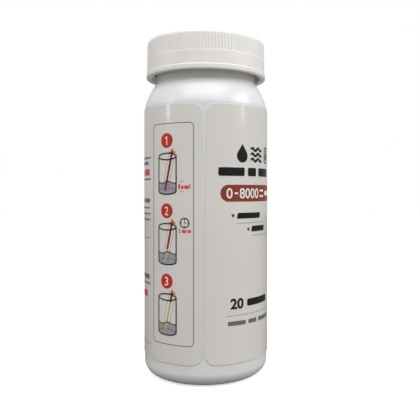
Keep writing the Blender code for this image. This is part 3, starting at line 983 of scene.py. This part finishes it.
def make_cap(materials):
    """The ribbed cap as one shell, its inside thread as a ridge, and the foam liner."""
    work = lathe(cap_profile(), even_angles(RIB_COUNT * 8), cap_ribs)
    settle(new_object("cap_shell", work, materials["cap"], 48.0), "cap", "cap_plastic", "cap")
    thread_ridge("cap_thread", CAP_BORE_RADIUS, True, NECK_THREAD_Z - 0.25 * THREAD_PITCH, 0.5 * math.pi,
                 "cap", "cap_plastic", materials["cap"])

    radius, top, bottom = LINER_HIGH.x, LINER_HIGH.z, LINER_LOW.z
    profile = [(0.0, top), (radius - 0.3 * MM, top), (radius - 0.05 * MM, top - 0.1 * MM)]
    profile += [(radius, top - 0.3 * MM), (radius, bottom + 0.3 * MM)]
    profile += [(radius - 0.05 * MM, bottom + 0.1 * MM), (radius - 0.3 * MM, bottom)]
    # The ring that the neck's rim has pressed into the foam
    profile += [(NECK_RADIUS, bottom), (NECK_RADIUS - 0.15 * MM, bottom + 0.1 * MM)]
    profile += [(BORE_RADIUS + 0.15 * MM, bottom + 0.1 * MM), (BORE_RADIUS, bottom), (0.0, bottom)]
    disc = new_object("liner_disc", lathe(profile, even_angles(160)), materials["foam"], 40.0)
    settle(disc, "cap_liner", "liner_foam", "cap_liner")


# --- test strips


def block(work, low, high, corner=0.0):
    """A flat block whose corners, seen along Y, may be rounded."""
    outline = [(high[0], high[2]), (low[0], high[2]), (low[0], low[2]), (high[0], low[2])]
    if corner > 0.0:
        outline = round_corners(low[0], low[2], high[0], high[2], corner, 5)
    near = [work.verts.new((x, low[1], z)) for x, z in outline]
    far = [work.verts.new((x, high[1], z)) for x, z in outline]
    work.faces.new(near)
    work.faces.new(list(reversed(far)))
    bridge(work, near, far)


def strip_meshes(materials):
    """(part name, mesh) of what every strip is made of, foot at the origin and face towards -Y."""
    half = 0.5 * STRIP_WIDTH
    sunk, raised = CARD_FACE + 0.01 * MM, CARD_FACE - 0.02 * MM
    signal_low, signal_high = CARD_HIGH - 4.2 * MM, CARD_HIGH - 3.0 * MM
    column_low, column_high = CARD_LOW + 2.0 * MM, CARD_HIGH - 6.0 * MM
    layers = {
        "backing": ("laminate", (-half, 0.0, 0.0), (half, STRIP_BACKING, STRIP_LENGTH), STRIP_CORNER),
        "card": ("laminate", (-CARD_HALF, CARD_FACE, CARD_LOW),
                 (CARD_HALF, 0.5 * STRIP_BACKING, CARD_HIGH), CARD_CORNER),
        "column": ("reagent", (-COLUMN_HALF, raised, column_low), (COLUMN_HALF, sunk, column_high)),
        "signal": ("signal", (-CARD_HALF, raised, signal_low), (CARD_HALF, sunk, signal_high)),
    }
    parts = {}
    for name, (finish, *shape) in layers.items():
        parts[name] = (bmesh.new(), finish)
        block(parts[name][0], *shape)
    scale = bmesh.new()
    for k in range(SCALE_MARKS):
        z = CARD_LOW + 4.0 * MM + k * SCALE_PITCH
        reach = 0.95 * MM if k % 5 == 0 else 0.6 * MM
        for side in (-1.0, 1.0):
            ends = sorted((side * 0.9 * MM, side * (0.9 * MM + reach)))
            block(scale, (ends[0], CARD_FACE - 0.01 * MM, z), (ends[1], sunk, z + 0.14 * MM))
    parts["scale"] = (scale, "line")
    made = []
    for name, (work, finish) in parts.items():
        example = new_object("strip_" + name, work, materials[finish], 30.0)
        made.append((name, example.data))
        bpy.data.objects.remove(example, do_unlink=True)
    return made


def make_strips(materials):
    """Every strip's pieces, placed where its CAD node leans."""
    parts = strip_meshes(materials)
    for node in sorted(name for name in frame["nodes"] if name.startswith("test_strip_")):
        low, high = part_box(node)
        axis = Vector(JOINTS[node + "_slide"]["axis"]).normalized()
        middle = 0.5 * (Vector(low) + Vector(high))
        place = Matrix.Translation(middle - 0.5 * STRIP_LENGTH * axis)
        turn = Matrix.Rotation(math.atan2(axis.x, axis.z), 4, "Y")
        for name, mesh in parts:
            piece = add_object(f"{node}_{name}", mesh)
            piece.matrix_world = place @ turn
            stands_for = (node,) if name == "backing" else ()
            settle(piece, node, "strip_laminate", *stands_for)


# --- desiccant sachet


def make_sachet(materials):
    """A filled paper pillow with crimped seals at both ends and beads that show through."""
    middle = 0.5 * (Vector(SACHET_LOW) + Vector(SACHET_HIGH))
    half_w = 0.5 * (SACHET_HIGH.x - SACHET_LOW.x)
    half_h = 0.5 * (SACHET_HIGH.z - SACHET_LOW.z)
    half_t = 0.5 * (SACHET_HIGH.y - SACHET_LOW.y)
    seal = 3.2 * MM
    across, up = 96, 150
    work = bmesh.new()
    sheets = []
    for side in (-1.0, 1.0):
        sheet = []
        for j in range(up + 1):
            v = 2.0 * j / up - 1.0
            z = v * half_h
            into = max(0.0, half_h - abs(z) - seal) / (half_h - seal)
            end_fill = 1.0 - (1.0 - min(1.0, 2.4 * into)) ** 2
            row = []
            for i in range(across + 1):
                u = 2.0 * i / across - 1.0
                pull = 1.0 - 0.05 * end_fill
                x = u * half_w * pull
                fill = max(0.0, 1.0 - abs(u) ** 2.6) ** 0.75 * end_fill
                bead = noise.cell_vector(Vector((x, side, z)) / (1.9 * MM)).x
                lump = noise.noise(Vector((x / (2.1 * MM), 3.0 * side, z / (2.1 * MM))))
                fold = noise.noise(Vector((x / (9.0 * MM), 7.0 + side, z / (4.0 * MM))))
                depth = fill * half_t * (0.82 + 0.13 * lump + 0.10 * fold + 0.01 * bead)
                crimp = 0.0
                if into == 0.0:
                    crimp = 0.06 * MM * math.sin(z / (0.35 * MM))
                y = side * (depth + 0.09 * MM) + crimp
                row.append(work.verts.new(middle + Vector((x, y, z))))
            sheet.append(row)
        for j in range(up):
            for i in range(across):
                work.faces.new((sheet[j][i], sheet[j][i + 1], sheet[j + 1][i + 1], sheet[j + 1][i]))
        sheets.append(sheet)
    bridge(work, *[border(sheet) for sheet in sheets])
    sachet = new_object("sachet_pillow", work, materials["paper"], 60.0)
    settle(sachet, "desiccant_sachet", "sachet_paper", "desiccant_sachet")


# --- stage


def area_light(name, azimuth, elevation, distance, wide, tall, radiance):
    """A soft light aimed at the bottle's middle, with its values in the units of LIGHTS."""
    aim = Vector((0.0, 0.0, 0.5 * CAP_TOP_Z))
    turn = CAMERA_ANGLE + math.radians(azimuth)
    rise = math.radians(elevation)
    direction = Vector((math.cos(turn) * math.cos(rise), math.sin(turn) * math.cos(rise), math.sin(rise)))
    data = bpy.data.lights.new(name, "AREA")
    data.shape = "RECTANGLE"
    data.size = wide
    data.size_y = tall
    data.energy = radiance * math.pi * wide * tall
    lamp = add_object(name, data)
    lamp.location = aim + direction * distance
    lamp.rotation_mode = "QUATERNION"
    lamp.rotation_quaternion = direction.to_track_quat("Z", "Y")


def make_camera():
    """Level, a little right of the bottle's axis, looking straight along its own direction."""
    data = bpy.data.cameras.new("camera")
    data.lens = CAMERA_LENS
    data.sensor_width = 36.0
    data.shift_x, data.shift_y = CAMERA_SHIFT
    data.clip_start = 0.01
    data.clip_end = 20.0
    camera = add_object("camera", data)
    back = Vector((math.cos(CAMERA_ANGLE), math.sin(CAMERA_ANGLE), 0.0))
    right = Vector((-back.y, back.x, 0.0))
    camera.location = back * CAMERA_DISTANCE + right * CAMERA_SIDE_STEP + Vector((0.0, 0.0, CAMERA_HEIGHT))
    camera.rotation_mode = "QUATERNION"
    camera.rotation_quaternion = back.to_track_quat("Z", "Y")
    bpy.context.scene.camera = camera


def make_floor():
    """Two round table tops in one place. The camera sees only the white one, and the
    bottle is lit only by the other one, whose duller bounce leaves its underside in shade."""
    outline = [(0.0, 0.0), (FLOOR_RADIUS, 0.0), (FLOOR_RADIUS, -FLOOR_DEPTH), (0.0, -FLOOR_DEPTH)]
    for name, colour, glow, sink in (
        ("floor", (0.92, 0.92, 0.92), FLOOR_GLOW, 0.015 * MM),
        ("floor_bounce", FLOOR_BOUNCE, 0.0, 0.03 * MM),
    ):
        paint = Paint(name + "_paint", colour, 0.8)
        paint.mottle(paint.noise(3.0), tuple(0.98 * part for part in colour), colour)
        paint.set(Specular_IOR_Level=0.0, Emission_Color=WHITE, Emission_Strength=glow)
        floor = new_object(name, lathe(outline, even_angles(120)), paint.made)
        floor.location.z = -sink
        seen = name == "floor"
        floor.visible_camera = seen
        floor.visible_shadow = False
        floor.visible_diffuse = not seen
        floor.visible_glossy = not seen


def make_world():
    """A white backdrop for the camera. As light it is dark below the horizon and stronger above."""
    world = bpy.data.worlds.new("studio")
    world.use_nodes = True
    tree = world.node_tree
    link = tree.links.new
    background = tree.nodes["Background"]
    coordinates = tree.nodes.new("ShaderNodeTexCoord")
    split = tree.nodes.new("ShaderNodeSeparateXYZ")
    link(coordinates.outputs["Generated"], split.inputs["Vector"])
    spread = tree.nodes.new("ShaderNodeMapRange")
    set_inputs(spread, From_Min=-1.0)
    link(split.outputs["Z"], spread.inputs["Value"])
    rise = tree.nodes.new("ShaderNodeValToRGB")
    elements = rise.color_ramp.elements
    while len(elements) < len(WORLD_LIGHT):
        elements.new(0.5)
    for element, (height, light) in zip(elements, WORLD_LIGHT):
        element.position = 0.5 * (height + 1.0)
        element.color = (*light, 1.0)
    link(spread.outputs["Result"], rise.inputs["Fac"])
    link(rise.outputs["Color"], background.inputs["Color"])
    set_inputs(background, Strength=1.0)
    backdrop = tree.nodes.new("ShaderNodeBackground")
    set_inputs(backdrop, Color=WHITE, Strength=1.0)
    rays = tree.nodes.new("ShaderNodeLightPath")
    pick = tree.nodes.new("ShaderNodeMixShader")
    link(rays.outputs["Is Camera Ray"], pick.inputs[0])
    link(background.outputs["Background"], pick.inputs[1])
    link(backdrop.outputs["Background"], pick.inputs[2])
    link(pick.outputs["Shader"], tree.nodes["World Output"].inputs["Surface"])
    bpy.context.scene.world = world


def make_stage():
    make_camera()
    make_floor()
    make_world()
    for name, values in LIGHTS.items():
        area_light(name, *values)
    bpy.context.scene.view_settings.view_transform = "Standard"


def main():
    materials = make_materials()
    make_stage()
    make_bottle(materials)
    make_label(materials)
    make_print(materials)
    make_cap(materials)
    make_strips(materials)
    make_sachet(materials)


main()
